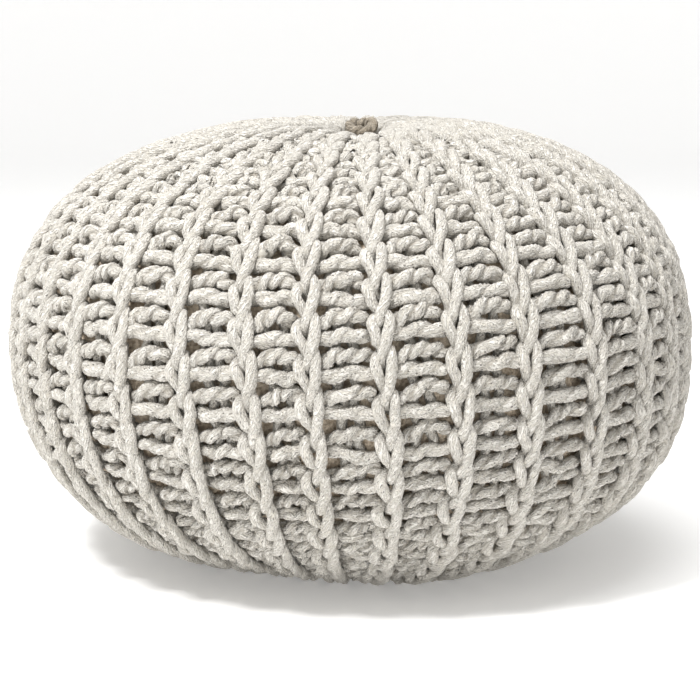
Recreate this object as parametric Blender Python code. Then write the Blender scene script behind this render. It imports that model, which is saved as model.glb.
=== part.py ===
"""Knitted pouf: a squat, round floor cushion in a ribbed cord knit, drawn in to a small gather on top.

The pouf is made in one piece, a tube of knit that is gathered at both ends and stuffed, so it is one
filled solid. Its surface is the outermost reach of the cord; the knit itself is finer than this model.
Units are metres and +Z is up. The origin is at the middle of the pouf's box, on the floor.
"""

import math

import bmesh
import bpy

# Driving dimensions
RADIUS = 0.250  # at the widest ring
CROWN_RISE = 0.154  # from the widest ring up to the crown
BASE_DROP = 0.163  # from the widest ring down to the floor
FULL_DROP = 0.173  # how far the lower half would hang if the floor didn't flatten it

# How square the upper and the lower half look from the side: a higher power is squarer, and a lower root
# is flatter on top. Height over the widest ring = rise * (1 - (r / RADIUS) ** power) ** root.
CROWN_POWER, CROWN_ROOT = 2.85, 0.472
BASE_POWER, BASE_ROOT = 2.45, 0.4245

# The top gather
GATHER_DEPTH = 0.016
GATHER_RADIUS = 0.014

# The stuffing has settled unevenly
CROWN_SWAY = 0.009  # the crown stands this far towards +X
FLANK_SWAY = 0.005  # and so does the lower flank, where it is fullest
WAVES = (  # harmonic around the pouf, share of the radius, fullest side in degrees from +X
    (2, 0.005, 25.0),
    (3, 0.004, 100.0),
    (5, 0.002, 310.0),
)

# How finely the surface is divided
SIDES = 64
RINGS = 42
CROWN_CROWDING = 1.5  # above 1 draws the upper rings towards the gather

COLLECTION = "knitted_pouf"
NODE = "knitted_pouf"
CORD_COLOUR = (0.74, 0.71, 0.65, 1.0)  # undyed cotton
CORD_ROUGHNESS = 0.95


def foot_share():
    """Radius of the flat patch on the floor, as a share of RADIUS: where the lower half meets the floor."""
    level = (BASE_DROP / FULL_DROP) ** (1.0 / BASE_ROOT)
    return (1.0 - level) ** (1.0 / BASE_POWER)


def crown_height(share):
    """Height of the upper half over the widest ring, at a share of RADIUS from the axis."""
    dome = CROWN_RISE * max(0.0, 1.0 - share**CROWN_POWER) ** CROWN_ROOT
    gather = GATHER_DEPTH * math.exp(-((share * RADIUS / GATHER_RADIUS) ** 2))
    return dome - gather


def base_height(share):
    """Height of the lower half, which is negative, flat where it lies on the floor."""
    if share <= foot_share() + 1e-9:
        return -BASE_DROP
    return -FULL_DROP * max(0.0, 1.0 - share**BASE_POWER) ** BASE_ROOT


def settled(share, height, azimuth):
    """A point of the round form, moved by the sway and the waves of the stuffing."""
    swell = 1.0 + sum(size * math.cos(n * (azimuth - math.radians(side))) for n, size, side in WAVES)
    if height >= 0.0:
        sway = CROWN_SWAY * (height / CROWN_RISE) ** 4
    else:
        drop = -height / BASE_DROP
        sway = FLANK_SWAY * 6.75 * drop * drop * (1.0 - drop)
    reach = RADIUS * share * swell
    return (reach * math.cos(azimuth) + sway, reach * math.sin(azimuth), height + BASE_DROP)


def shape_pouf(mesh_data):
    """Turns a unit sphere into the pouf: each vertex keeps its azimuth and takes the profile's radius."""
    last_latitude = math.pi / 2.0 - math.pi / RINGS
    foot_scale = math.acos(foot_share()) / last_latitude
    for vertex in mesh_data.verts:
        latitude = math.asin(max(-1.0, min(1.0, vertex.co.z)))
        azimuth = math.atan2(vertex.co.y, vertex.co.x)
        if latitude >= -1e-6:
            share = max(0.0, math.cos(latitude)) ** CROWN_CROWDING
            height = crown_height(share)
        elif latitude < -last_latitude - 1e-4:
            share, height = 0.0, -BASE_DROP
        else:
            share = math.cos(latitude * foot_scale)
            height = base_height(share)
        vertex.co = settled(share, height, azimuth)
    for vertex in mesh_data.verts:
        if vertex.co.z < 1e-5:
            vertex.co.z = 0.0
    foot = [face for face in mesh_data.faces if all(vertex.co.z == 0.0 for vertex in face.verts)]
    bmesh.ops.dissolve_faces(mesh_data, faces=foot)


def centre_on_origin(mesh_data):
    """Puts the middle of the pouf's box over the origin."""
    for axis in (0, 1):
        places = [vertex.co[axis] for vertex in mesh_data.verts]
        middle = (min(places) + max(places)) / 2.0
        for vertex in mesh_data.verts:
            vertex.co[axis] -= middle


def cord_material():
    """Matt undyed cotton cord."""
    material = bpy.data.materials.new("cotton_cord")
    material.use_nodes = True
    shader = material.node_tree.nodes["Principled BSDF"]
    shader.inputs["Base Color"].default_value = CORD_COLOUR
    shader.inputs["Roughness"].default_value = CORD_ROUGHNESS
    shader.inputs["Metallic"].default_value = 0.0
    return material


def make_pouf(collection):
    """The stuffed pouf, one closed solid with a flat foot."""
    mesh_data = bmesh.new()
    bmesh.ops.create_uvsphere(mesh_data, u_segments=SIDES, v_segments=RINGS, radius=1.0)
    shape_pouf(mesh_data)
    centre_on_origin(mesh_data)
    bmesh.ops.recalc_face_normals(mesh_data, faces=mesh_data.faces)
    mesh = bpy.data.meshes.new(NODE)
    mesh_data.to_mesh(mesh)
    mesh_data.free()
    mesh.shade_smooth()
    mesh.materials.append(cord_material())
    pouf = bpy.data.objects.new(NODE, mesh)
    collection.objects.link(pouf)
    return pouf


def main():
    """Clears the scene and builds the pouf in a collection of its own."""
    for existing in list(bpy.data.objects):
        bpy.data.objects.remove(existing)
    collection = bpy.data.collections.new(COLLECTION)
    bpy.context.scene.collection.children.link(collection)
    make_pouf(collection)


main()
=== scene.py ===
"""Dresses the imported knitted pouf: every stitch of its ribbed cord knit, the gathers and the cover inside.

The pouf's outermost reach is a turned form that the stuffing has made slightly uneven. The knit is laid
on that form as real cord: courses of rib cord that make the upright V stitches, courses of cross cord
that bridge the gaps between the ribs, and the dim wales on the back of the knit, over an inner cover.
"""

import logging
import math
from dataclasses import dataclass, field
from enum import Enum
from functools import cached_property
from typing import NamedTuple

import bpy
import numpy as np
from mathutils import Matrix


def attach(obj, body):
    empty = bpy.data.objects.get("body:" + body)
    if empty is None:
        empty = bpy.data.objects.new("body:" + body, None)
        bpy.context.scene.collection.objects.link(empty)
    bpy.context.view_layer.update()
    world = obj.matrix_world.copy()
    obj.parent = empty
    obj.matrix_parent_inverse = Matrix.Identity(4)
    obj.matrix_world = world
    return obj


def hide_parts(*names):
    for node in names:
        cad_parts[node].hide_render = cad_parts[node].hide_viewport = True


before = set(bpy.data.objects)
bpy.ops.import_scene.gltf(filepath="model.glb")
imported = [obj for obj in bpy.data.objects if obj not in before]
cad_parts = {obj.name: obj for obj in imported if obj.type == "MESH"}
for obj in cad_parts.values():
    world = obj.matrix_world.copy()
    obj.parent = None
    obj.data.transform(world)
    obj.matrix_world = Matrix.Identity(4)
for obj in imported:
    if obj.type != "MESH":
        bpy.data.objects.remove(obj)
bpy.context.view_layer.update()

NODE = "knitted_pouf"
BODY = "root"
MM = 0.001
MAP_SHIFT = 0.37

Array = np.ndarray
Object = bpy.types.Object
Material = bpy.types.Material
Socket = bpy.types.NodeSocket
Triple = tuple[float, float, float]

log = logging.getLogger("pouf")


class Cord(Enum):
    """The two kinds of cord course, by the first part of their pieces' names."""

    RIB = "rib_cord"
    CROSS = "cross_cord"


class Stretch(Enum):
    """How a stretch of cord between two knots runs, which sets how many points it needs."""

    GAP = "across the gap between ribs"
    TURN = "round a tight turn"
    LEG = "along a leg of the stitch"
    BACK = "behind the knit, out of view"


@dataclass(frozen=True)
class Form:
    """The pouf's outermost reach, measured by azimuth and by the arc down from the middle of the crown.

    The upper and the lower half are superellipses: height over the widest ring is
    rise * (1 - (r / radius) ** power) ** root. The lower half is cut off by the floor. Lengths are in
    metres, and each of the waves has its number round the pouf, its share of the radius and the azimuth
    in degrees where it is highest.
    """

    radius: float = 0.250
    crown_rise: float = 0.154
    base_drop: float = 0.163
    full_drop: float = 0.173
    crown_power: float = 2.85
    crown_root: float = 0.472
    base_power: float = 2.45
    base_root: float = 0.4245
    gather_depth: float = 0.016
    gather_radius: float = 0.014
    crown_sway: float = 0.009
    flank_sway: float = 0.005
    waves: tuple[tuple[int, float, float], ...] = ((2, 0.005, 25.0), (3, 0.004, 100.0), (5, 0.002, 310.0))
    samples: int = 1200
    probe: float = 0.0015
    least_ring: float = 0.004
    box_around: int = 129
    box_down: int = 400

    @cached_property
    def outline(self) -> Array:
        """The turned profile from the crown to the middle of the foot.

        The gather is a bell curve of gather_depth taken off the middle of the crown.

        Returns:
            Rows of arc, share of the radius and height over the widest ring, in order down the form.
        """
        turn = np.sin(np.linspace(0.0, math.pi / 2, self.samples))
        dome = self.crown_rise * (1.0 - turn**self.crown_power) ** self.crown_root
        dome = dome - self.gather_depth * np.exp(-((turn * self.radius / self.gather_radius) ** 2))
        back = turn[::-1][1:]
        hang = -self.full_drop * (1.0 - back**self.base_power) ** self.base_root
        share = np.concatenate([turn, back])
        height = np.concatenate([dome, np.maximum(hang, -self.base_drop)])
        step = np.hypot(np.diff(share * self.radius), np.diff(height))
        arc = np.concatenate([[0.0], np.cumsum(step)])
        return np.stack([arc, share, height])

    @property
    def length(self) -> float:
        """Arc from the middle of the crown to the middle of the foot."""
        return float(self.outline[0, -1])

    def ring_radius(self, arc: Array) -> Array:
        """Radius of the level ring at an arc, before the waves."""
        return np.interp(arc, self.outline[0], self.outline[1]) * self.radius

    def height(self, arc: Array) -> Array:
        """Height over the widest ring at an arc."""
        return np.interp(arc, self.outline[0], self.outline[2])

    @cached_property
    def middle(self) -> Array:
        """The middle of the uneven form's box, which the CAD model has over its origin."""
        around = np.linspace(0, 2 * math.pi, self.box_around)
        points = self.uneven(*np.meshgrid(around, np.linspace(0, self.length, self.box_down)))
        low, high = points.reshape(-1, 3).min(0), points.reshape(-1, 3).max(0)
        return (low + high) / 2.0

    def uneven(self, azimuth: Array, arc: Array) -> Array:
        """Points of the form after the stuffing has settled: waves around it, and a sway towards +X.

        The reach is the ring's radius * (1 + the sum of size * cos(n * (azimuth - side))). The sway goes
        as the fourth power of the height over the widest ring, and below it as 27 / 4 * drop ** 2 *
        (1 - drop), which is 1 at its most.

        Args:
            azimuth: angles from +X, in radians.
            arc: arcs down from the crown, in metres.

        Returns:
            Points, with the floor at height 0.
        """
        arc = np.clip(arc, 0.0, self.length)
        height = self.height(arc)
        swell = 1.0 + sum(size * np.cos(n * (azimuth - math.radians(side))) for n, size, side in self.waves)
        drop = np.clip(-height / self.base_drop, 0.0, 1.0)
        sway = np.where(
            height >= 0.0,
            self.crown_sway * (height / self.crown_rise) ** 4,
            self.flank_sway * (27 / 4) * drop * drop * (1.0 - drop),
        )
        reach = self.ring_radius(arc) * swell
        return np.stack(
            [reach * np.cos(azimuth) + sway, reach * np.sin(azimuth), height + self.base_drop], axis=-1
        )

    def place(self, azimuth: Array, arc: Array, sink: Array) -> tuple[Array, Array]:
        """Points under the form's surface, with the surface's outward directions there.

        The outward direction is the cross product of short steps down and around the form.

        Args:
            azimuth: angles from +X, in radians.
            arc: arcs down from the crown, in metres.
            sink: depths under the surface, in metres.

        Returns:
            The points and the unit directions.
        """
        ring = self.ring_radius(np.clip(arc, 0.0, self.length))
        turn = self.probe / np.maximum(ring, self.least_ring)
        down = self.uneven(azimuth, arc + self.probe) - self.uneven(azimuth, arc - self.probe)
        around = self.uneven(azimuth + turn, arc) - self.uneven(azimuth - turn, arc)
        outward = unit(np.cross(down, around))
        centred = self.uneven(azimuth, arc) - self.middle * np.array([1.0, 1.0, 0.0])
        return centred - outward * np.asarray(sink)[..., None], outward


def unit(vectors: Array) -> Array:
    """Vectors scaled to length 1."""
    return vectors / np.maximum(np.linalg.norm(vectors, axis=-1, keepdims=True), 1e-12)


@dataclass
class Wander:
    """Slow unevenness over the pouf: a sum of slanted waves with seeded phases, zero on average."""

    seed: int
    size: float
    waves: int = 6
    most_around: int = 5
    shortest: float = 0.14

    def at(self, azimuth: Array, arc: Array) -> Array:
        """The unevenness at places on the form.

        Args:
            azimuth: angles from +X, in radians.
            arc: arcs down from the crown, in metres.

        Returns:
            The sum of the waves' cosines, times size over the root of their number. A wave's length down
            the form is shortest times 1 to 3.
        """
        draw = np.random.default_rng(self.seed)
        total = np.zeros(np.broadcast(azimuth, arc).shape)
        for _ in range(self.waves):
            around = draw.integers(1, self.most_around + 1) * draw.choice([-1, 1])
            down = 2 * math.pi / (self.shortest * (1.0 + 2.0 * draw.random()))
            total = total + np.cos(around * azimuth + down * arc + draw.random() * 2 * math.pi)
        return self.size * total / math.sqrt(self.waves)


@dataclass(frozen=True)
class Stuffing:
    """How the stuffing pushes the knit past the form, as swells that are each a bell curve over the arc.

    Lengths are in metres. Each arc pair is a swell's middle and its width.
    """

    all_over: float = 0.0004
    shoulder: float = 0.0018
    shoulder_left: float = 0.0012
    shoulder_arc: tuple[float, float] = (0.17, 0.08)
    crown: float = 0.0034
    crown_arc: tuple[float, float] = (0.08, 0.05)
    belly: float = 0.0042
    belly_arc: tuple[float, float] = (0.47, 0.08)
    front: float = 0.0038
    front_arc: tuple[float, float] = (0.53, 0.06)
    front_width: float = 0.35
    front_swings: float = 2.6
    notch: float = 0.0115
    notch_width: float = 0.023
    notch_reach: float = 0.040
    notch_edge: float = 0.002
    notch_fade: float = 0.004
    gather_width: float = 0.02

    def proud(self, azimuth: Array, arc: Array) -> Array:
        """How far the knit stands past the form, less a notch in the gather's near rim.

        The crown and the shoulder swell all round, the shoulder more on the left and the belly only there.
        The front swings in and out with front * sin(front_swings * angle from the front).

        Args:
            azimuth: angles from +X, in radians.
            arc: arcs down from the crown, in metres.

        Returns:
            Heights over the form, in metres.
        """
        left = (0.5 - 0.5 * np.cos(azimuth)) ** 2
        shoulder = (self.shoulder + self.shoulder_left * left) * bump(arc, *self.shoulder_arc)
        shoulder = shoulder + self.crown * bump(arc, *self.crown_arc)
        belly = self.belly * left * bump(arc, *self.belly_arc)
        front = bump(np.sin(azimuth), -1.0, self.front_width) * bump(arc, *self.front_arc)
        lean = self.front * front * np.sin(self.front_swings * np.arcsin(np.cos(azimuth)))
        x, y = arc * np.cos(azimuth), arc * np.sin(azimuth)
        notch = self.notch * bump(x, 0.0, self.notch_width) * bump(y, -self.notch_reach, self.notch_reach)
        notch = notch / (1.0 + np.exp((y + self.notch_edge) / self.notch_fade))
        inside = 1.0 - bump(arc, 0.0, self.gather_width)
        return (self.all_over + shoulder) * inside + belly + lean - notch


@dataclass
class Layout:
    """Where the ribs and courses lie on the form.

    A stitch has the axes of its rib: across, along the rib downwards, both in stitch lengths from the
    stitch's crotch, and sink in metres. Near the gathers the ribs crowd and every stitch narrows. Arcs and
    stitch lengths are in metres, and the ribs' angles are in degrees. Each of the pulls has its middle
    azimuth, width in degrees, middle arc, height and largest shift in degrees.
    """

    form: Form
    ribs: int = 34
    courses: int = 25
    first_arc: float = 0.0335
    crown_stitch: float = 0.0236
    base_stitch: float = 0.0278
    first_rib: float = -95.85
    drift_back: float = 7.5
    drift_side: float = 2.3
    twist: tuple[float, float] = (-4.0, -3.0)
    tilt: float = 0.022
    rib_half: float = 0.47
    pulls: tuple[tuple[float, float, float, float, float], ...] = (
        (-112.0, 11.0, 0.370, 0.110, 1.5),
        (-92.0, 8.0, 0.420, 0.100, -1.1),
        (-70.0, 11.0, 0.435, 0.035, -1.6),
        (-66.0, 8.0, 0.360, 0.080, -0.5),
        (-40.0, 14.0, 0.360, 0.120, 1.8),
    )
    stuffing: Stuffing = Stuffing()
    rib_wander: Wander = field(default_factory=lambda: Wander(11, 0.0011))
    course_wander: Wander = field(default_factory=lambda: Wander(12, 0.0012))
    steady_ring: float = 0.02
    least_ring: float = 0.003

    def arc(self, course: Array) -> Array:
        """Arc of a level line counted in stitches, whose length grows evenly from crown to base."""
        growth = (self.base_stitch - self.crown_stitch) / self.courses
        return self.first_arc + course * self.crown_stitch + 0.5 * growth * course**2

    def stitch(self, course: Array) -> Array:
        """Length of a stitch at a course."""
        return self.crown_stitch + (self.base_stitch - self.crown_stitch) * course / self.courses

    def rib_azimuth(self, rib: Array, arc: Array) -> Array:
        """Azimuth of a rib's middle: even spacing, a drift around the pouf and a slight twist with height.

        Args:
            rib: rib numbers, which may be past the last one.
            arc: arcs down from the crown.

        Returns:
            Azimuths in radians, which grow with the rib number.
        """
        even = 2 * math.pi * rib / self.ribs
        drift = self.drift_back * (1.0 - np.cos(even)) + self.drift_side * np.sin(even)
        level = self.form.height(arc) / self.form.radius
        twist = self.twist[0] * level + self.twist[1] * level**2
        azimuth = even + np.radians(self.first_rib + drift + twist)
        azimuth = azimuth + np.radians(self.pull(np.degrees(azimuth), arc))
        radius = np.maximum(self.form.ring_radius(arc), self.steady_ring)
        return azimuth + self.rib_wander.at(azimuth, arc) / radius

    def pull(self, side: Array, arc: Array) -> Array:
        """How far the knit is pulled around the pouf at a place, in degrees.

        Each pull is its largest shift times two bell curves, one over azimuth and one over arc.

        Args:
            side: azimuths in degrees, any number of turns on.
            arc: arcs down from the crown.

        Returns:
            Shifts in degrees.
        """
        shift = np.zeros(np.broadcast(side, arc).shape)
        for middle, width, middle_arc, height, most in self.pulls:
            away = (side - middle + 180.0) % 360.0 - 180.0
            shift = shift + most * bump(away, 0.0, width) * bump(arc, middle_arc, height)
        return shift

    def lay(self, rib: Array, course: Array, across: Array, gap: Array) -> tuple[Array, Array, Array]:
        """Azimuth, arc and crowding of places in the knit.

        Crowding is half the distance between ribs over half a rib's full width, at most 1. An arc shrinks
        by tilt times itself times the sine of the angle from the front.

        Args:
            rib: rib numbers.
            course: counts of stitches down from the first crotch.
            across: offsets from the rib's middle, in stitch lengths.
            gap: shares of the way from the rib's edge to the middle of the gap, negative to the left.

        Returns:
            Azimuths, arcs, and the crowding: 1 where the rib has its full width, less near the gathers.
        """
        arc = self.arc(course)
        here = self.rib_azimuth(rib, arc)
        before, after = self.rib_azimuth(rib - 1, arc), self.rib_azimuth(rib + 1, arc)
        half = 0.5 * np.where(gap < 0, here - before, after - here)
        radius = np.maximum(self.form.ring_radius(arc), self.least_ring)
        stitch = self.stitch(course)
        crowding = np.minimum(1.0, half * radius / (self.rib_half * stitch))
        azimuth = here + across * stitch * crowding / radius
        open_half = half - self.rib_half * stitch * crowding / radius
        azimuth = azimuth + gap * open_half
        arc = arc - self.tilt * arc * np.sin(azimuth + math.pi / 2)
        return azimuth, arc + self.course_wander.at(azimuth, arc), crowding


def bump(value: Array, middle: float, width: float) -> Array:
    """A bell curve of height 1: exp(-((value - middle) / width) ** 2)."""
    return np.exp(-(((value - middle) / width) ** 2))


def smooth_course(knots: Array, gains: Array, counts: Array) -> Array:
    """Carries closed curves through their knots.

    Each stretch between two knots is a Catmull-Rom cubic: it leaves a knot along the line between that
    knot's two neighbours.

    Args:
        knots: array (courses, ribs, knots per rib, values).
        gains: array (courses, values) of what each value has gained after one round.
        counts: how many points each stretch gets.

    Returns:
        Array (courses, points, values).
    """
    courses, ribs, per_rib, values = knots.shape
    flat = knots.reshape(courses, ribs * per_rib, values)
    gains = gains[:, None, :]
    padded = np.concatenate([flat[:, -1:] - gains, flat, flat[:, :2] + gains], axis=1)
    stretch = np.repeat(np.arange(per_rib), counts)
    share = np.concatenate([np.arange(count) / count for count in counts])
    index = (np.arange(ribs)[:, None] * per_rib + stretch).ravel()
    t = np.tile(share, ribs)[None, :, None]
    a, b, c, d = (padded[:, index + k] for k in range(4))
    return 0.5 * (2 * b + (c - a) * t + (2 * a - 5 * b + 4 * c - d) * t**2 + (3 * b - a - 3 * c + d) * t**3)


@dataclass(frozen=True)
class Section:
    """A plied cord's cross-section: two lobes, so that the radius swings twice in a turn."""

    sides: int

    @property
    def angles(self) -> Array:
        """The angles of a ring's points from the ply."""
        return np.arange(self.sides) * 2 * math.pi / self.sides

    def groove(self, flute: Array) -> Array:
        """How far each point of each ring lies in the groove between the plies: flute * (1 - |cos a|)."""
        return flute[..., None] * (1.0 - np.abs(np.cos(self.angles)))

    def rings(self, centre: Array, outward: Array, radius: Array, flute: Array, phase: Array) -> Array:
        """Rings of points around closed centre lines.

        A ring's radius at angle a from its ply is radius * (1 - flute * (1 - |cos a|)), and the ply itself
        turns by the phase.

        Args:
            centre: array (loops, points, 3).
            outward: the surface's direction at each centre.
            radius: each ring's largest radius.
            flute: how deep the groove between the plies is, as a share.
            phase: the ply's turn at each ring, in radians.

        Returns:
            Array (loops, points, sides, 3).
        """
        forward = unit(np.roll(centre, -1, axis=1) - np.roll(centre, 1, axis=1))
        below = unit(np.cross(forward, outward))
        above = np.cross(below, forward)
        reach = radius[..., None] * (1.0 - self.groove(flute))
        turned = self.angles + phase[..., None]
        return (
            centre[:, :, None, :]
            + (reach * np.cos(turned))[..., None] * below[:, :, None, :]
            + (reach * np.sin(turned))[..., None] * above[:, :, None, :]
        )


def loop_lengths(centre: Array) -> Array:
    """Length run up to each point of closed lines, by adding the steps, and the whole as a last column."""
    step = np.linalg.norm(np.roll(centre, -1, axis=1) - centre, axis=-1)
    return np.concatenate([np.zeros((len(centre), 1)), np.cumsum(step, axis=1)], axis=1)


def grid_quads(rows: int, around: int, closed: bool = False) -> Array:
    """Quads between neighbouring rings of points.

    Args:
        rows: how many rings there are.
        around: how many points a ring has.
        closed: whether the last ring is joined to the first.

    Returns:
        Array (rows or rows - 1, around, 4) of point numbers, where point k of ring j is j * around + k.
    """
    j, k = np.meshgrid(np.arange(rows if closed else rows - 1), np.arange(around), indexing="ij")
    near, far, nxt = j * around, (j + 1) % rows * around, (k + 1) % around
    return np.stack([near + k, far + k, far + nxt, near + nxt], axis=-1)


def repeated(quads: Array, copies: int, points: int) -> Array:
    """The quads of so many like grids of points, one after another, as array (quads, 4)."""
    return (quads.reshape(1, -1, 4) + (np.arange(copies) * points)[:, None, None]).reshape(-1, 4)


def cord_mesh(name: str, rings: Array, lengths: Array, radius: float, groove: Array) -> Object:
    """Makes closed cords into one mesh of quads with a cord map.

    The map runs along the cord in its first value and around it in its second, both in metres. Each loop's
    map starts MAP_SHIFT farther on, so that no two have the same fibres side by side.

    Args:
        name: the piece's name.
        rings: array (loops, points, sides, 3).
        lengths: array (loops, points + 1) of the length run.
        radius: the cord's usual radius, for the width of the map.
        groove: array (loops, points, sides), how deep in the groove each point lies.

    Returns:
        The new object.
    """
    loops, count, sides, _ = rings.shape
    faces = repeated(grid_quads(count, sides, closed=True), loops, count * sides)
    around = 2 * math.pi * radius / sides
    run = np.stack([lengths[:, :-1], lengths[:, 1:], lengths[:, 1:], lengths[:, :-1]], axis=-1)
    run = np.repeat(run[:, :, None, :], sides, axis=2)
    k = np.broadcast_to(np.arange(sides), (count, sides))
    turn = np.stack([k, k, k + 1, k + 1], axis=-1) * around
    turn = turn[None] + np.arange(loops)[:, None, None, None] * MAP_SHIFT
    chart = np.stack([run, np.broadcast_to(turn, run.shape)], axis=-1)
    piece = mesh_object(name, rings.reshape(-1, 3), faces, chart.reshape(-1, 2))
    depth = piece.data.attributes.new("groove", "FLOAT", "POINT")
    depth.data.foreach_set("value", groove.astype(np.float32).ravel())
    return piece


def mesh_object(name: str, points: Array, faces: Array, chart: Array) -> Object:
    """Puts arrays into a smooth-shaded object at the origin.

    Args:
        name: the piece's name.
        points: array (points, 3).
        faces: array (quads, 4) of point numbers, each quad seen from outside.
        chart: array (quads * 4, 2), the map's value at each corner.

    Returns:
        The new object.
    """
    mesh = bpy.data.meshes.new(name)
    mesh.vertices.add(len(points))
    mesh.vertices.foreach_set("co", points.astype(np.float32).ravel())
    mesh.loops.add(faces.size)
    mesh.loops.foreach_set("vertex_index", faces.astype(np.int32).ravel())
    mesh.polygons.add(len(faces))
    mesh.polygons.foreach_set("loop_start", np.arange(0, faces.size, 4, dtype=np.int32))
    mesh.update(calc_edges=True)
    mesh.uv_layers.new(name="cord").data.foreach_set("uv", chart.astype(np.float32).ravel())
    mesh.validate()
    return smooth_object(mesh)


def plain_object(name: str, points: Array, faces: list[tuple[int, ...]]) -> Object:
    """Puts points and faces of any size into a smooth-shaded object at the origin.

    Args:
        name: the object's name.
        points: array (points, 3).
        faces: the point numbers of each face, seen from outside.

    Returns:
        The new object.
    """
    mesh = bpy.data.meshes.new(name)
    mesh.from_pydata(points.tolist(), [], faces)
    mesh.update()
    return smooth_object(mesh)


def smooth_object(mesh: bpy.types.Mesh) -> Object:
    """Shades a mesh smooth and puts it into the scene, as an object of its name at the origin."""
    mesh.polygons.foreach_set("use_smooth", np.ones(len(mesh.polygons), dtype=bool))
    piece = bpy.data.objects.new(mesh.name, mesh)
    bpy.context.scene.collection.objects.link(piece)
    return piece


class KnitPart:
    """A sub-assembly of the pouf, which dresses each piece that it builds."""

    @staticmethod
    def dress(piece: Object, finish: Material) -> Object:
        """Gives a piece its finish, says what it rides on and hides the pouf's CAD part.

        Args:
            piece: the piece, which has no material yet.
            finish: its material.

        Returns:
            The piece.
        """
        piece.data.materials.append(finish)
        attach(piece, BODY)
        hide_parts(NODE)
        return piece


@dataclass(frozen=True)
class Band:
    """A run of courses that make one piece, and how finely its cord is divided."""

    name: str
    first: int
    last: int
    sides: int
    points: dict[Stretch, int]


GAP, TURN, LEG, BACK = Stretch
COARSE = {GAP: 2, TURN: 1, LEG: 1, BACK: 1}
FINE = {GAP: 3, TURN: 2, LEG: 1, BACK: 1}
BANDS = (
    Band("crown", 0, 4, 8, COARSE),
    Band("upper", 4, 9, 12, FINE),
    Band("middle", 9, 14, 12, FINE),
    Band("lower", 14, 19, 12, FINE),
    Band("foot", 19, 25, 8, COARSE),
)


class Knot(NamedTuple):
    """One knot of a stitch's path, counted from the middle of the gap on its left."""

    across: float
    gap: float
    along: float
    sink: float
    radius: float
    flute: float
    ply: float
    stretch: Stretch


@dataclass(frozen=True)
class Unevenness:
    """How far the stitches differ from the path by chance, as standard deviations.

    Knots wander in metres, and loose ones, in the gaps, by so much more. Whole stitches differ in stitch
    lengths along the rib, in shares across it and in radius, in metres of sink and in turns of the ply.
    """

    knot: float = 0.0005
    loose: float = 0.5
    knot_sink: float = 0.7
    along: float = 0.032
    across: float = 0.05
    sink: float = 0.0004
    radius: float = 0.03
    ply: float = 0.10


@dataclass(frozen=True)
class Settling:
    """How the stitches change from the crown to the foot.

    Open is a ring's radius past open_from over open_run. Low grows from 0 to 1 over low_run courses, and
    slack is low times a fade over slack_run courses. The left leg leans out and the right leg in by
    shares of low. Sinks are in metres.
    """

    open_from: float = 0.11
    open_run: float = 0.11
    least_open: float = 0.2
    low_from: float = 11.0
    low_run: float = 4.0
    lean_out: float = 0.50
    lean_in: float = 0.35
    slack_end: float = 21.0
    slack_run: float = 3.0
    slack_sink: float = 0.0016
    slack_thin: float = 0.15
    crown_sink: float = 0.0006
    crowd_thin: float = 0.30
    odd_sink: float = 0.0022
    even_sink: float = -0.0004

    def open(self, ring: Array) -> Array:
        """How open the knit is on rings of a radius, from least_open to 1."""
        return np.clip((ring - self.open_from) / self.open_run, self.least_open, 1.0)

    def low(self, course: Array) -> Array:
        """How low on the pouf a course lies, from 0 to 1."""
        return np.clip((course - self.low_from) / self.low_run, 0.0, 1.0)

    def slack(self, course: Array) -> Array:
        """How slack a course is, from 0 to 1."""
        return self.low(course) * np.clip((self.slack_end - course) / self.slack_run, 0.0, 1.0)


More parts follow.
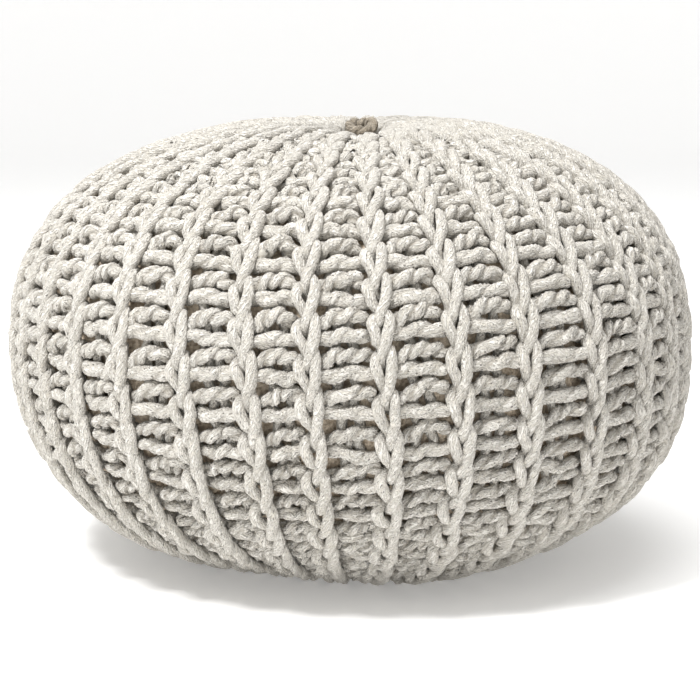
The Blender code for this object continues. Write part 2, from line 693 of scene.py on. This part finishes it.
@dataclass
class CordCourses(KnitPart):
    """Courses of one kind of cord, which run round and round the pouf.

    The path has a row for each knot of a stitch, with columns: across and gap as Layout.lay takes them,
    along in stitch lengths, sink and radius in millimetres, flute as a share, the ply's turns so far, and
    the kind of stretch that follows. Knots past gap_edge across the rib belong to the gap. The cross cord
    draws together about its level where the knit closes up.
    """

    layout: Layout
    cord: Cord
    path: tuple[Knot, ...]
    seed: int
    uneven: Unevenness = Unevenness()
    settling: Settling = Settling()
    level: float = -0.53
    gap_edge: float = 0.36
    map_radius: float = 0.0034
    least_share: float = 0.3
    least_cover: float = 0.98

    def turns(self, course: Array) -> Array:
        """Turns of the ply in a stitch: in step with the ring, and whole over a round."""
        form, ribs = self.layout.form, self.layout.ribs
        share = np.maximum(form.ring_radius(self.layout.arc(course)) / form.radius, self.least_share)
        return np.round(ribs * TABLE_TURNS * share) / ribs

    def knots(self, band: Band) -> Array:
        """The knots of a band's courses, each stitch drawn a little differently.

        Every value is the path's, plus or times its unevenness. Where ribs crowd the cord gets thinner,
        and every second rib sinks under its neighbours.

        Args:
            band: the courses to make.

        Returns:
            Array (courses, ribs, knots, 6): azimuth, arc, sink, radius, flute and turns of the ply.
        """
        layout, uneven, settling = self.layout, self.uneven, self.settling
        columns = np.array([knot[:7] for knot in self.path]).T
        path_across, gap, path_along, path_sink, path_radius, flute, ply = columns
        course = np.arange(band.first, band.last, dtype=float)[:, None, None]
        rib = np.arange(layout.ribs, dtype=float)[None, :, None]
        shape = (len(course), layout.ribs, len(self.path))
        in_gap = np.abs(path_across) > self.gap_edge
        draw = np.random.default_rng((self.seed, band.first))
        stitch_draw = draw.normal(size=(5, shape[0], shape[1], 1))
        knot_draw = draw.normal(size=(3, *shape)) * uneven.knot * (1.0 + uneven.loose * in_gap)
        start = draw.random(size=(shape[0], 1, 1))
        along = path_along + uneven.along * stitch_draw[0]
        open_share = settling.open(layout.form.ring_radius(layout.arc(course)))
        if self.cord is Cord.CROSS:
            along = self.level + (along - self.level) * open_share
        low, slack = settling.low(course), settling.slack(course)
        lean = np.where(path_across < 0.0, 1.0 + settling.lean_out * low, 1.0 - settling.lean_in * low)
        across = path_across * np.where(in_gap, 1.0, lean) * (1.0 + uneven.across * stitch_draw[1])
        azimuth, arc, crowding = layout.lay(rib, course + along, across, gap)
        reach = np.maximum(layout.form.ring_radius(arc), layout.steady_ring)
        thin = 1.0 - settling.crowd_thin + settling.crowd_thin * crowding
        under = (1.0 - crowding) * np.where(rib % 2 > 0, settling.odd_sink, settling.even_sink)
        under = under + ((1.0 - open_share) * settling.crown_sink + settling.slack_sink * slack) * in_gap
        sink = (path_sink * MM + uneven.sink * stitch_draw[2]) * thin
        slim = 1.0 - settling.slack_thin * slack * in_gap
        return np.stack(
            [
                azimuth + knot_draw[0] / reach,
                arc + knot_draw[1],
                sink + knot_draw[2] * uneven.knot_sink + under,
                path_radius * MM * thin * slim * (1.0 + uneven.radius * stitch_draw[3]),
                np.broadcast_to(flute, shape),
                start + self.turns(course) * (rib + (ply + uneven.ply * stitch_draw[4]) / TABLE_TURNS),
            ],
            axis=-1,
        )

    def build(self, band: Band, finish: Material) -> Object:
        """Makes one band's courses into a mesh.

        A centre line stays least_cover of its radius under the form's surface, and its radius over the
        floor.

        Args:
            band: the courses to make.
            finish: the cord's material.

        Returns:
            The new object.
        """
        counts = np.array([band.points[knot.stretch] for knot in self.path])
        gains = np.zeros((band.last - band.first, 6))
        gains[:, 0] = 2 * math.pi
        gains[:, 5] = self.layout.ribs * self.turns(np.arange(band.first, band.last, dtype=float))
        line = smooth_course(self.knots(band), gains, counts)
        azimuth, arc, sink, radius, flute, ply = np.moveaxis(line, -1, 0)
        sink = np.maximum(sink, radius * self.least_cover) - self.layout.stuffing.proud(azimuth, arc)
        centre, outward = self.layout.form.place(azimuth, arc, sink)
        centre[..., 2] = np.maximum(centre[..., 2], radius)
        section = Section(band.sides)
        rings = section.rings(centre, outward, radius, flute, 2 * math.pi * ply)
        name = f"{self.cord.value}_{band.name}"
        cords = cord_mesh(name, rings, loop_lengths(centre), self.map_radius, section.groove(flute))
        return self.dress(cords, finish)


RIB_ROWS = (
    # across, gap, along, sink, radius, flute, ply turns, stretch
    (-0.43, -1.00, 0.92, 8.0, 5.5, 0.26, 0.00, GAP),
    (-0.43, -0.40, 0.93, 8.0, 5.5, 0.26, 0.28, GAP),
    (-0.39, 0.00, 0.93, 8.8, 5.2, 0.24, 0.46, TURN),
    (-0.26, 0.00, 0.96, 11.8, 4.2, 0.18, 0.60, BACK),
    (-0.10, 0.00, 0.92, 13.8, 3.8, 0.14, 0.68, BACK),
    (0.00, 0.00, 0.72, 13.0, 3.7, 0.14, 0.76, BACK),
    (0.03, 0.00, 0.48, 11.2, 3.8, 0.14, 0.81, LEG),
    (-0.02, 0.00, 0.29, 8.8, 3.9, 0.14, 0.86, LEG),
    (-0.11, 0.00, 0.10, 6.0, 4.0, 0.14, 0.91, LEG),
    (-0.17, 0.00, -0.10, 4.6, 4.1, 0.14, 0.96, TURN),
    (-0.20, 0.00, -0.29, 5.6, 4.1, 0.14, 1.01, TURN),
    (-0.15, 0.00, -0.46, 9.4, 3.8, 0.14, 1.05, BACK),
    (0.01, 0.00, -0.58, 12.4, 3.3, 0.14, 1.09, BACK),
    (0.15, 0.00, -0.72, 9.8, 2.5, 0.14, 1.13, TURN),
    (0.215, 0.00, -0.66, 6.2, 2.7, 0.14, 1.16, TURN),
    (0.25, 0.00, -0.45, 4.2, 3.6, 0.14, 1.21, LEG),
    (0.225, 0.00, -0.18, 3.9, 4.0, 0.14, 1.26, LEG),
    (0.16, 0.00, 0.09, 3.9, 4.1, 0.14, 1.31, LEG),
    (0.07, 0.00, 0.33, 4.0, 4.0, 0.14, 1.37, LEG),
    (-0.01, 0.00, 0.55, 5.2, 3.7, 0.14, 1.42, TURN),
    (-0.03, 0.00, 0.73, 8.2, 3.4, 0.14, 1.45, BACK),
    (0.04, 0.00, 0.87, 13.2, 3.6, 0.14, 1.48, BACK),
    (0.22, 0.00, 0.96, 12.8, 4.2, 0.18, 1.51, BACK),
    (0.38, 0.00, 0.92, 9.6, 5.2, 0.24, 1.57, TURN),
    (0.43, 0.35, 0.91, 8.2, 5.5, 0.26, 1.74, GAP),
)

CROSS_ROWS = (
    # across, gap, along, sink, radius, flute, ply turns, stretch
    (-0.43, -1.00, -0.63, 7.6, 5.9, 0.34, 0.00, GAP),
    (-0.43, -0.40, -0.63, 7.8, 5.9, 0.34, 0.36, GAP),
    (-0.42, 0.00, -0.59, 9.0, 5.5, 0.33, 0.62, TURN),
    (-0.28, 0.00, -0.50, 12.8, 4.4, 0.30, 0.78, BACK),
    (0.00, 0.00, -0.40, 15.0, 4.0, 0.28, 1.00, BACK),
    (0.25, 0.00, -0.38, 13.0, 4.4, 0.30, 1.22, TURN),
    (0.41, 0.00, -0.43, 9.2, 5.5, 0.33, 1.38, GAP),
    (0.43, 0.45, -0.54, 7.8, 5.9, 0.34, 1.70, GAP),
)
TABLE_TURNS = 2.0
PATHS = {
    Cord.RIB: tuple(Knot(*row) for row in RIB_ROWS),
    Cord.CROSS: tuple(Knot(*row) for row in CROSS_ROWS),
}
SEEDS = {Cord.RIB: 21, Cord.CROSS: 22}


@dataclass
class BackWales(KnitPart):
    """The wales on the back of the knit: upright strands in the gaps, two to a gap, dim behind the rest.

    Each strand is a line beside the gap's middle that swings from side to side once a stitch. Lengths are
    in metres.
    """

    layout: Layout
    name: str = "back_wales"
    sink: float = 0.0134
    radius: float = 0.0036
    spread: float = 0.0050
    swing: float = 0.0024
    swing_step: float = 2.4
    least_thick: float = 0.42
    least_ring: float = 0.01
    above_first: float = 0.4
    below_last: float = 0.1
    sides: int = 4
    points_a_stitch: int = 3
    map_step: tuple[float, float] = (0.006, 0.0033)

    def build(self, finish: Material) -> Object:
        """Makes all strands into one mesh.

        A strand's azimuth is the gap's middle plus or minus (spread + swing) * crowding / radius, and the
        swing goes as the sine of the course in turns plus the rib's own phase.

        Args:
            finish: the strands' material.

        Returns:
            The new object.
        """
        layout = self.layout
        count = layout.courses * self.points_a_stitch
        course = np.linspace(-self.above_first, layout.courses + self.below_last, count)[None, :]
        rib = np.repeat(np.arange(layout.ribs, dtype=float), 2)[:, None]
        side = np.tile([-1.0, 1.0], layout.ribs)[:, None]
        azimuth, arc, crowding = layout.lay(rib, course, np.full(1, layout.rib_half), np.full(1, 1.0))
        radius = np.maximum(layout.form.ring_radius(arc), self.least_ring)
        swing = np.sin(2 * math.pi * course + rib * self.swing_step) * self.swing
        azimuth = azimuth + side * (self.spread * crowding + swing * crowding) / radius
        centre, outward = layout.form.place(azimuth, arc, self.sink - layout.stuffing.proud(azimuth, arc))
        forward = unit(np.gradient(centre, axis=1))
        beside = unit(np.cross(forward, outward))
        above = np.cross(beside, forward)
        angle = np.arange(self.sides) * 2 * math.pi / self.sides
        thick = self.radius * (self.least_thick + (1.0 - self.least_thick) * crowding)[..., None, None]
        rings = centre[:, :, None] + thick * (
            np.cos(angle)[:, None] * beside[:, :, None] + np.sin(angle)[:, None] * above[:, :, None]
        )
        return self.dress(self.tubes(rings), finish)

    def tubes(self, rings: Array) -> Object:
        """Joins each strand's rings with quads and draws its ends to a point.

        Args:
            rings: array (strands, points, sides, 3).

        Returns:
            The new object.
        """
        strands, count, sides, _ = rings.shape
        rings[:, 0] = rings[:, 0].mean(axis=1, keepdims=True)
        rings[:, -1] = rings[:, -1].mean(axis=1, keepdims=True)
        faces = repeated(grid_quads(count, sides), strands, count * sides)
        j, k = np.meshgrid(np.arange(count - 1), np.arange(sides), indexing="ij")
        corner_j = np.stack([j, j + 1, j + 1, j], axis=-1) * self.map_step[0]
        corner_k = np.stack([k, k, k + 1, k + 1], axis=-1) * self.map_step[1]
        chart = np.tile(np.stack([corner_j, corner_k], axis=-1).reshape(-1, 2), (strands, 1))
        return mesh_object(self.name, rings.reshape(-1, 3), faces, chart)


@dataclass
class InnerCover(KnitPart):
    """The stuffed inner cover that shows as a warm dark through the gaps of the knit."""

    layout: Layout
    name: str = "inner_cover"
    sink: float = 0.0156
    bulge: float = 0.0025
    bulge_from: float = 0.15
    bulge_phase: float = 0.7
    around: int = 136
    down: int = 72

    def build(self, finish: Material) -> Object:
        """Makes the cover: a closed surface under the form, swelling a little in each gap.

        Its sink is sink - bulge * cos(azimuth * ribs + bulge_phase), and the bulge fades evenly on rings
        under bulge_from.

        Args:
            finish: the cloth's material.

        Returns:
            The new object.
        """
        form = self.layout.form
        arc = np.linspace(0.0, form.length, self.down + 1)[1:-1, None]
        azimuth = np.linspace(0.0, 2 * math.pi, self.around, endpoint=False)[None, :]
        wave = np.cos(azimuth * self.layout.ribs + self.bulge_phase)
        sink = self.sink - self.bulge * wave * np.minimum(1.0, form.ring_radius(arc) / self.bulge_from)
        azimuth, arc = azimuth + 0 * arc, arc + 0 * azimuth
        points, _ = form.place(azimuth, arc, sink - self.layout.stuffing.proud(azimuth, arc))
        poles, _ = form.place(np.zeros(2), np.array([0.0, form.length]), np.full(2, self.sink))
        cover = plain_object(self.name, np.concatenate([points.reshape(-1, 3), poles]), self.faces())
        return self.dress(cover, finish)

    def faces(self) -> list[tuple[int, ...]]:
        """Quads between the rows, and a fan of triangles at each of the two last points, the poles."""
        rows = self.down - 1
        quads = grid_quads(rows, self.around).reshape(-1, 4)
        ring = np.arange(self.around)
        turn, last = np.roll(ring, -1), (rows - 1) * self.around
        pole = np.full(self.around, rows * self.around)
        top = np.stack([pole, ring, turn], axis=-1)
        foot = np.stack([pole + 1, turn + last, ring + last], axis=-1)
        return [tuple(face) for part in (quads, top, foot) for face in part.tolist()]


@dataclass
class Gather(KnitPart):
    """The drawn cord inside a gather: rings of plied cord, one on another.

    Each ring has its arc and its sink, in metres. The rings' upper side is up at the crown and down at
    the foot, and the ply makes ply_turns in a metre, rounded to whole turns.
    """

    layout: Layout
    name: str
    arcs: tuple[float, ...]
    sinks: tuple[float, ...]
    up: float
    radius: float = 0.0044
    flute: float = 0.28
    ply_turns: float = 62.0
    arc_wave: float = 0.0012
    sink_wave: float = 0.0008
    sides: int = 12
    points: int = 40

    def build(self, finish: Material) -> Object:
        """Makes the rings, each a closed cord near a level line of the form.

        The arc swings three times a round and the sink twice.

        Args:
            finish: the cord's material.

        Returns:
            The new object.
        """
        azimuth = np.linspace(0.0, 2 * math.pi, self.points, endpoint=False)[None, :]
        arc = np.array(self.arcs)[:, None] + self.arc_wave * np.sin(3 * azimuth)
        sink = np.array(self.sinks)[:, None] + self.sink_wave * np.cos(2 * azimuth)
        azimuth = azimuth + 0 * arc
        centre, _ = self.layout.form.place(azimuth, arc, sink - self.layout.stuffing.proud(azimuth, arc))
        outward = np.broadcast_to(np.array([0.0, 0.0, self.up]), centre.shape)
        lengths = loop_lengths(centre)
        whole = lengths[:, -1:]
        turns = np.maximum(1.0, np.round(self.ply_turns * whole))
        phase = 2 * math.pi * lengths[:, :-1] / whole * turns
        section, size = Section(self.sides), np.full(arc.shape, self.radius)
        flute = np.full(arc.shape, self.flute)
        rings = section.rings(centre, outward, size, flute, phase)
        cord = cord_mesh(self.name, rings, lengths, self.radius, section.groove(flute))
        return self.dress(cord, finish)


class Nodes:
    """A material's node tree, with short ways to add the nodes that the finishes share."""

    def __init__(self, name: str, roughness: float) -> None:
        """Makes a material with its shader's roughness set."""
        self.material = bpy.data.materials.new(name)
        self.material.use_nodes = True
        self.tree = self.material.node_tree
        self.shader = self.tree.nodes["Principled BSDF"]
        self.shader.inputs["Roughness"].default_value = roughness
        self.place = self.tree.nodes.new("ShaderNodeTexCoord")

    def link(self, source: Socket, target: Socket) -> None:
        """Joins two sockets."""
        self.tree.links.new(source, target)

    def value(self, attribute: str) -> Socket:
        """A number stored on the mesh's points."""
        node = self.tree.nodes.new("ShaderNodeAttribute")
        node.attribute_name = attribute
        return node.outputs["Fac"]

    def stretched(self, length: float, width: float, slant: float) -> Socket:
        """The cord map turned by a slant and measured in lengths along it and widths across it.

        Args:
            length: metres along the slant that count as 1.
            width: metres across it that count as 1.
            slant: degrees from the cord's run.

        Returns:
            The vector socket.
        """
        turn, scale = (self.tree.nodes.new("ShaderNodeMapping") for _ in range(2))
        turn.inputs["Rotation"].default_value[2] = math.radians(slant)
        scale.inputs["Scale"].default_value = (1.0 / length, 1.0 / width, 1.0)
        self.link(self.place.outputs["UV"], turn.inputs["Vector"])
        self.link(turn.outputs["Vector"], scale.inputs["Vector"])
        return scale.outputs["Vector"]

    def noise(self, vector: Socket, scale: float, detail: float) -> Socket:
        """A noise over a vector, from 0 to 1.

        Args:
            vector: where the noise is read.
            scale: how many of its waves go into 1.
            detail: how many finer layers are added, each half as wide.

        Returns:
            The value socket.
        """
        texture = self.tree.nodes.new("ShaderNodeTexNoise")
        texture.inputs["Scale"].default_value = scale
        texture.inputs["Detail"].default_value = detail
        self.link(vector, texture.inputs["Vector"])
        return texture.outputs["Fac"]

    def ramp(self, value: Socket, low: float, high: float, top: float = 1.0, foot: float = 0.0) -> Socket:
        """A value carried evenly from one range to another and held at the ends.

        Args:
            value: the value.
            low: what becomes foot.
            high: what becomes top.
            top: the result at high and past it.
            foot: the result at low and before it.

        Returns:
            The value socket.
        """
        node = self.tree.nodes.new("ShaderNodeMapRange")
        node.inputs["From Min"].default_value = low
        node.inputs["From Max"].default_value = high
        node.inputs["To Min"].default_value = foot
        node.inputs["To Max"].default_value = top
        self.link(value, node.inputs["Value"])
        return node.outputs["Result"]

    def contour(self, value: Socket, width: float) -> Socket:
        """Thin lines where a value passes 0.5.

        Args:
            value: the value.
            width: how far from 0.5 it is where the line has faded out.

        Returns:
            The value socket: 1 on the line, and evenly down to 0 at its edges.
        """
        shifted, away = (self.tree.nodes.new("ShaderNodeMath") for _ in range(2))
        shifted.operation, away.operation = "SUBTRACT", "ABSOLUTE"
        shifted.inputs[1].default_value = 0.5
        self.link(value, shifted.inputs[0])
        self.link(shifted.outputs["Value"], away.inputs[0])
        return self.ramp(away.outputs["Value"], 0.0, width, top=0.0, foot=1.0)

    def add(self, value: Socket, share: float, other: Socket) -> Socket:
        """The sum value * share + other."""
        node = self.tree.nodes.new("ShaderNodeMath")
        node.operation = "MULTIPLY_ADD"
        node.inputs[1].default_value = share
        self.link(value, node.inputs[0])
        self.link(other, node.inputs[2])
        return node.outputs["Value"]

    def blend(self, factor: Socket, low: Triple | Socket, high: Triple | Socket) -> Socket:
        """A mix of two colours: low * (1 - factor) + high * factor.

        Args:
            factor: the share of the second.
            low: the first, as a tuple or a socket.
            high: the second.

        Returns:
            The colour socket.
        """
        node = self.tree.nodes.new("ShaderNodeMix")
        node.data_type = "RGBA"
        self.link(factor, node.inputs["Factor"])
        for name, colour in (("A", low), ("B", high)):
            socket = next(s for s in node.inputs if s.name == name and s.type == "RGBA")
            if isinstance(colour, tuple):
                socket.default_value = (*colour, 1.0)
            else:
                self.link(colour, socket)
        return next(s for s in node.outputs if s.type == "RGBA")

    def finish(self, colour: Socket, height: Socket, depth: float) -> Material:
        """Ends the material with its colour and its relief.

        Args:
            colour: the base colour.
            height: the relief, of which 1 is the depth.
            depth: metres.

        Returns:
            The material.
        """
        relief = self.tree.nodes.new("ShaderNodeBump")
        relief.inputs["Distance"].default_value = depth
        self.link(height, relief.inputs["Height"])
        self.link(relief.outputs["Normal"], self.shader.inputs["Normal"])
        self.link(colour, self.shader.inputs["Base Color"])
        return self.material


@dataclass(frozen=True)
class CottonFinish:
    """Undyed cotton cord: matt, with fine fibres along the plies and a few darker flecks.

    The fibres are a noise stretched along a slant on the cord map, the lines are where it passes a half,
    and the flecks are the peaks of a finer one. The crease colour is painted shade, laid into the grooves
    between the plies by how deep each point lies in them. Lengths are in metres and slants in degrees. A
    most is the largest share of a colour, and a cut is how deep it lies in the relief.
    """

    name: str = "cotton_cord"
    light: Triple = (0.83, 0.798, 0.738)
    shade: Triple = (0.61, 0.57, 0.495)
    line: Triple = (0.25, 0.21, 0.155)
    fleck: Triple = (0.10, 0.088, 0.07)
    # painted shade: the warm dark laid into the grooves between the plies, where shade falls
    crease_shade: Triple = (0.26, 0.215, 0.155)
    roughness: float = 0.92
    sheen: float = 0.12
    specular: float = 0.2
    fibre_length: float = 0.0055
    fibre_width: float = 0.0012
    fibre_slant: float = 30.0
    grain: float = 900.0
    grain_share: float = 0.8
    patch: float = 24.0
    patch_share: float = 0.30
    tones: tuple[float, float] = (0.76, 1.16)
    line_width: float = 0.050
    line_most: float = 0.46
    line_cut: float = 0.20
    fleck_length: float = 0.0030
    fleck_width: float = 0.0009
    fleck_slant: float = 39.0
    fleck_peaks: tuple[float, float] = (0.65, 0.70)
    fleck_most: float = 0.75
    crease_from: tuple[float, float] = (0.14, 0.38)
    crease_shade_most: float = 0.55
    crease_cut: float = 1.5
    relief: float = 0.0028

    def make(self) -> Material:
        """Builds the material on the cord map, with a grain over it.

        The height is grain_share * grain + fibre, less the cuts, and the tone goes by the height before
        them plus patch_share * patch.

        Returns:
            The material.
        """
        nodes = Nodes(self.name, self.roughness)
        nodes.shader.inputs["Sheen Weight"].default_value = self.sheen
        nodes.shader.inputs["Specular IOR Level"].default_value = self.specular
        place = nodes.place.outputs["Object"]
        along = nodes.stretched(self.fibre_length, self.fibre_width, self.fibre_slant)
        fibre = nodes.noise(along, 1.0, 1.0)
        line = nodes.contour(fibre, self.line_width)
        grain = nodes.noise(place, self.grain, 2.0)
        patch = nodes.noise(place, self.patch, 2.0)
        height = nodes.add(grain, self.grain_share, fibre)
        tone = nodes.ramp(nodes.add(patch, self.patch_share, height), *self.tones)
        # painted shade mask from the groove depth; the same mask also cuts the relief below
        crease_shade = nodes.ramp(nodes.value("groove"), *self.crease_from, self.crease_shade_most)
        along = nodes.stretched(self.fleck_length, self.fleck_width, self.fleck_slant)
        fleck = nodes.ramp(nodes.noise(along, 1.0, 1.0), *self.fleck_peaks, self.fleck_most)
        colour = nodes.blend(tone, self.shade, self.light)
        colour = nodes.blend(nodes.ramp(line, 0.0, 1.0, self.line_most), colour, self.line)
        colour = nodes.blend(fleck, colour, self.fleck)
        # painted shade in the grooves between the plies
        colour = nodes.blend(crease_shade, colour, self.crease_shade)
        height = nodes.add(crease_shade, -self.crease_cut, nodes.add(line, -self.line_cut, height))
        return nodes.finish(colour, height, self.relief)


@dataclass(frozen=True)
class CasingFinish:
    """The inner cover's plain cloth, warm and dark behind the knit."""

    name: str = "inner_cloth"
    light: Triple = (0.84, 0.72, 0.57)
    dark: Triple = (0.40, 0.32, 0.235)
    roughness: float = 0.95
    threads: float = 420.0
    patch: float = 60.0
    patch_share: float = 0.6
    tones: tuple[float, float] = (0.66, 0.98)
    relief: float = 0.0016

    def make(self) -> Material:
        """Builds the material: a fine fibrous grain in two tones, by grain + patch_share * patch."""
        nodes = Nodes(self.name, self.roughness)
        place = nodes.place.outputs["Object"]
        thread = nodes.noise(place, self.threads, 3.0)
        patch = nodes.noise(place, self.patch, 2.0)
        tone = nodes.ramp(nodes.add(patch, self.patch_share, thread), *self.tones)
        return nodes.finish(nodes.blend(tone, self.dark, self.light), thread, self.relief)


@dataclass(frozen=True)
class FloorFinish:
    """The studio floor: pale, matt and faintly lit from within, so that it stays white far out."""

    name: str = "pale_floor"
    base: Triple = (0.96, 0.957, 0.95)
    glow: Triple = (1.0, 0.997, 0.99)
    glow_strength: float = 0.22
    roughness: float = 0.8

    def make(self) -> Material:
        """Builds the material, all of it in the shader's own values."""
        material = bpy.data.materials.new(self.name)
        material.use_nodes = True
        shader = material.node_tree.nodes["Principled BSDF"]
        shader.inputs["Base Color"].default_value = (*self.base, 1.0)
        shader.inputs["Roughness"].default_value = self.roughness
        shader.inputs["Emission Color"].default_value = (*self.glow, 1.0)
        shader.inputs["Emission Strength"].default_value = self.glow_strength
        return material


@dataclass(frozen=True)
class Lamp:
    """A square soft lamp: its place and side in metres, and its power in watts."""

    name: str
    place: Triple
    size: float
    power: float


@dataclass(frozen=True)
class Studio:
    """A pale floor, soft lights and the camera.

    The camera looks from distance metres, elevation degrees up, at a point near the pouf's middle that
    aim_right and aim_drop set.
    """

    elevation: float = 9.1
    distance: float = 1.502
    lens: float = 103.8
    sensor: float = 36.0
    aim_right: float = -0.0008
    aim_drop: float = 0.0149
    widest: float = 0.163
    floor_radius: float = 4.0
    bend: float = 1.2
    bend_rings: int = 17
    wall: float = 0.3
    around: int = 96
    seen_light: float = 1.0
    cast_light: float = 0.48
    lamp_aim: Triple = (0.0, 0.0, 0.15)
    lamps: tuple[Lamp, ...] = (
        Lamp("key", (-0.9, -1.15, 2.1), 0.4, 47.0),
        Lamp("overhead", (-0.25, -0.2, 2.6), 2.2, 60.0),
    )

    def build(self) -> None:
        """Sets up everything around the pouf."""
        self.floor()
        self.sky()
        for lamp in self.lamps:
            self.light(lamp)
        self.camera()
        bpy.context.scene.view_settings.view_transform = "Standard"

    def floor(self) -> None:
        """A wide pale floor that curves up into a backdrop all round.

        The bend is a quarter circle: at angle a it lies at floor_radius + bend * sin a, bend * (1 - cos a).
        """
        turn = np.linspace(0.0, math.pi / 2, self.bend_rings)
        edge = self.floor_radius + self.bend
        reach = np.concatenate([[0.0], self.floor_radius + self.bend * np.sin(turn), [edge]])
        rise = np.concatenate([[0.0], self.bend * (1.0 - np.cos(turn)), [self.bend + self.wall]])
        angle = np.linspace(0.0, 2 * math.pi, self.around, endpoint=False)
        x, y = reach[:, None] * np.cos(angle), reach[:, None] * np.sin(angle)
        points = np.stack([x, y, np.broadcast_to(rise[:, None], x.shape)], axis=-1)
        quads = grid_quads(len(reach), self.around)[1:].reshape(-1, 4)
        disc = tuple(range(self.around, 2 * self.around))
        floor = plain_object("floor", points.reshape(-1, 3), [disc, *map(tuple, quads.tolist())])
        floor.data.materials.append(FloorFinish().make())

    def sky(self) -> None:
        """A white surround, which lights the pouf less than it shows behind it."""
        world = bpy.data.worlds.new("surround")
        bpy.context.scene.world = world
        world.use_nodes = True
        nodes, links = world.node_tree.nodes, world.node_tree.links
        nodes.clear()
        out = nodes.new("ShaderNodeOutputWorld")
        mix = nodes.new("ShaderNodeMixShader")
        ray = nodes.new("ShaderNodeLightPath")
        links.new(ray.outputs["Is Camera Ray"], mix.inputs["Fac"])
        for slot, strength in ((1, self.cast_light), (2, self.seen_light)):
            white = nodes.new("ShaderNodeBackground")
            white.inputs["Strength"].default_value = strength
            white.inputs["Color"].default_value = (1.0, 1.0, 1.0, 1.0)
            links.new(white.outputs["Background"], mix.inputs[slot])
        links.new(mix.outputs["Shader"], out.inputs["Surface"])

    def light(self, lamp: Lamp) -> None:
        """Sets up a lamp, aimed at the pouf's middle."""
        data = bpy.data.lights.new(lamp.name, "AREA")
        data.size = lamp.size
        data.energy = lamp.power
        light = bpy.data.objects.new(lamp.name, data)
        light.location = lamp.place
        light.rotation_euler = self.facing(np.array(self.lamp_aim) - np.array(lamp.place))
        bpy.context.scene.collection.objects.link(light)

    @staticmethod
    def facing(direction: Array) -> Triple:
        """Euler angles that turn an object's -Z to a direction (x, y, z), with its +Y up.

        Args:
            direction: of any length.

        Returns:
            The arc cosine of -z, no second turn, and the arc tangent of y over x less a quarter turn.
        """
        x, y, z = direction / np.linalg.norm(direction)
        return (math.acos(-z), 0.0, math.atan2(y, x) - math.pi / 2)

    def camera(self) -> None:
        """The camera, in front of the pouf and a little above it."""
        rise = math.radians(self.elevation)
        eye = np.array([0.0, -math.cos(rise), math.sin(rise)]) * self.distance
        eye[2] += self.widest
        aim = np.array([self.aim_right, 0.0, self.widest - self.aim_drop])
        data = bpy.data.cameras.new("camera")
        data.lens = self.lens
        data.sensor_width = self.sensor
        camera = bpy.data.objects.new("camera", data)
        camera.location = eye
        camera.rotation_euler = self.facing(aim - eye)
        bpy.context.scene.collection.objects.link(camera)
        bpy.context.scene.camera = camera


def gathers(layout: Layout) -> tuple[Gather, Gather]:
    """The cord drawn through the crown and the one through the foot."""
    foot = layout.form.length
    return (
        Gather(layout, "crown_gather", (0.0155, 0.0085, 0.0036), (-0.0078, 0.0030, 0.0035), up=1.0),
        Gather(layout, "base_gather", (foot - 0.012, foot - 0.004), (0.006, 0.008), up=-1.0),
    )


def main() -> None:
    """Builds the pouf from the inside out, then the studio."""
    logging.basicConfig(level=logging.INFO, format="%(message)s", force=True)
    layout = Layout(Form())
    cotton = CottonFinish().make()
    inner = InnerCover(layout).build(CasingFinish().make())
    pieces = [inner, BackWales(layout).build(cotton)]
    for cord in Cord:
        courses = CordCourses(layout, cord, PATHS[cord], SEEDS[cord])
        pieces += [courses.build(band, cotton) for band in BANDS]
    # painted shade: the cotton made darker for the cord that lies in the gathers' hollows
    drawn = CottonFinish("drawn_cord_shaded", light=(0.55, 0.48, 0.385), shade=(0.30, 0.25, 0.185)).make()
    pieces += [gather.build(drawn) for gather in gathers(layout)]
    for piece in pieces:
        log.info("%s: %d faces", piece.name, len(piece.data.polygons))
    Studio().build()


if __name__ == "__main__":
    main()
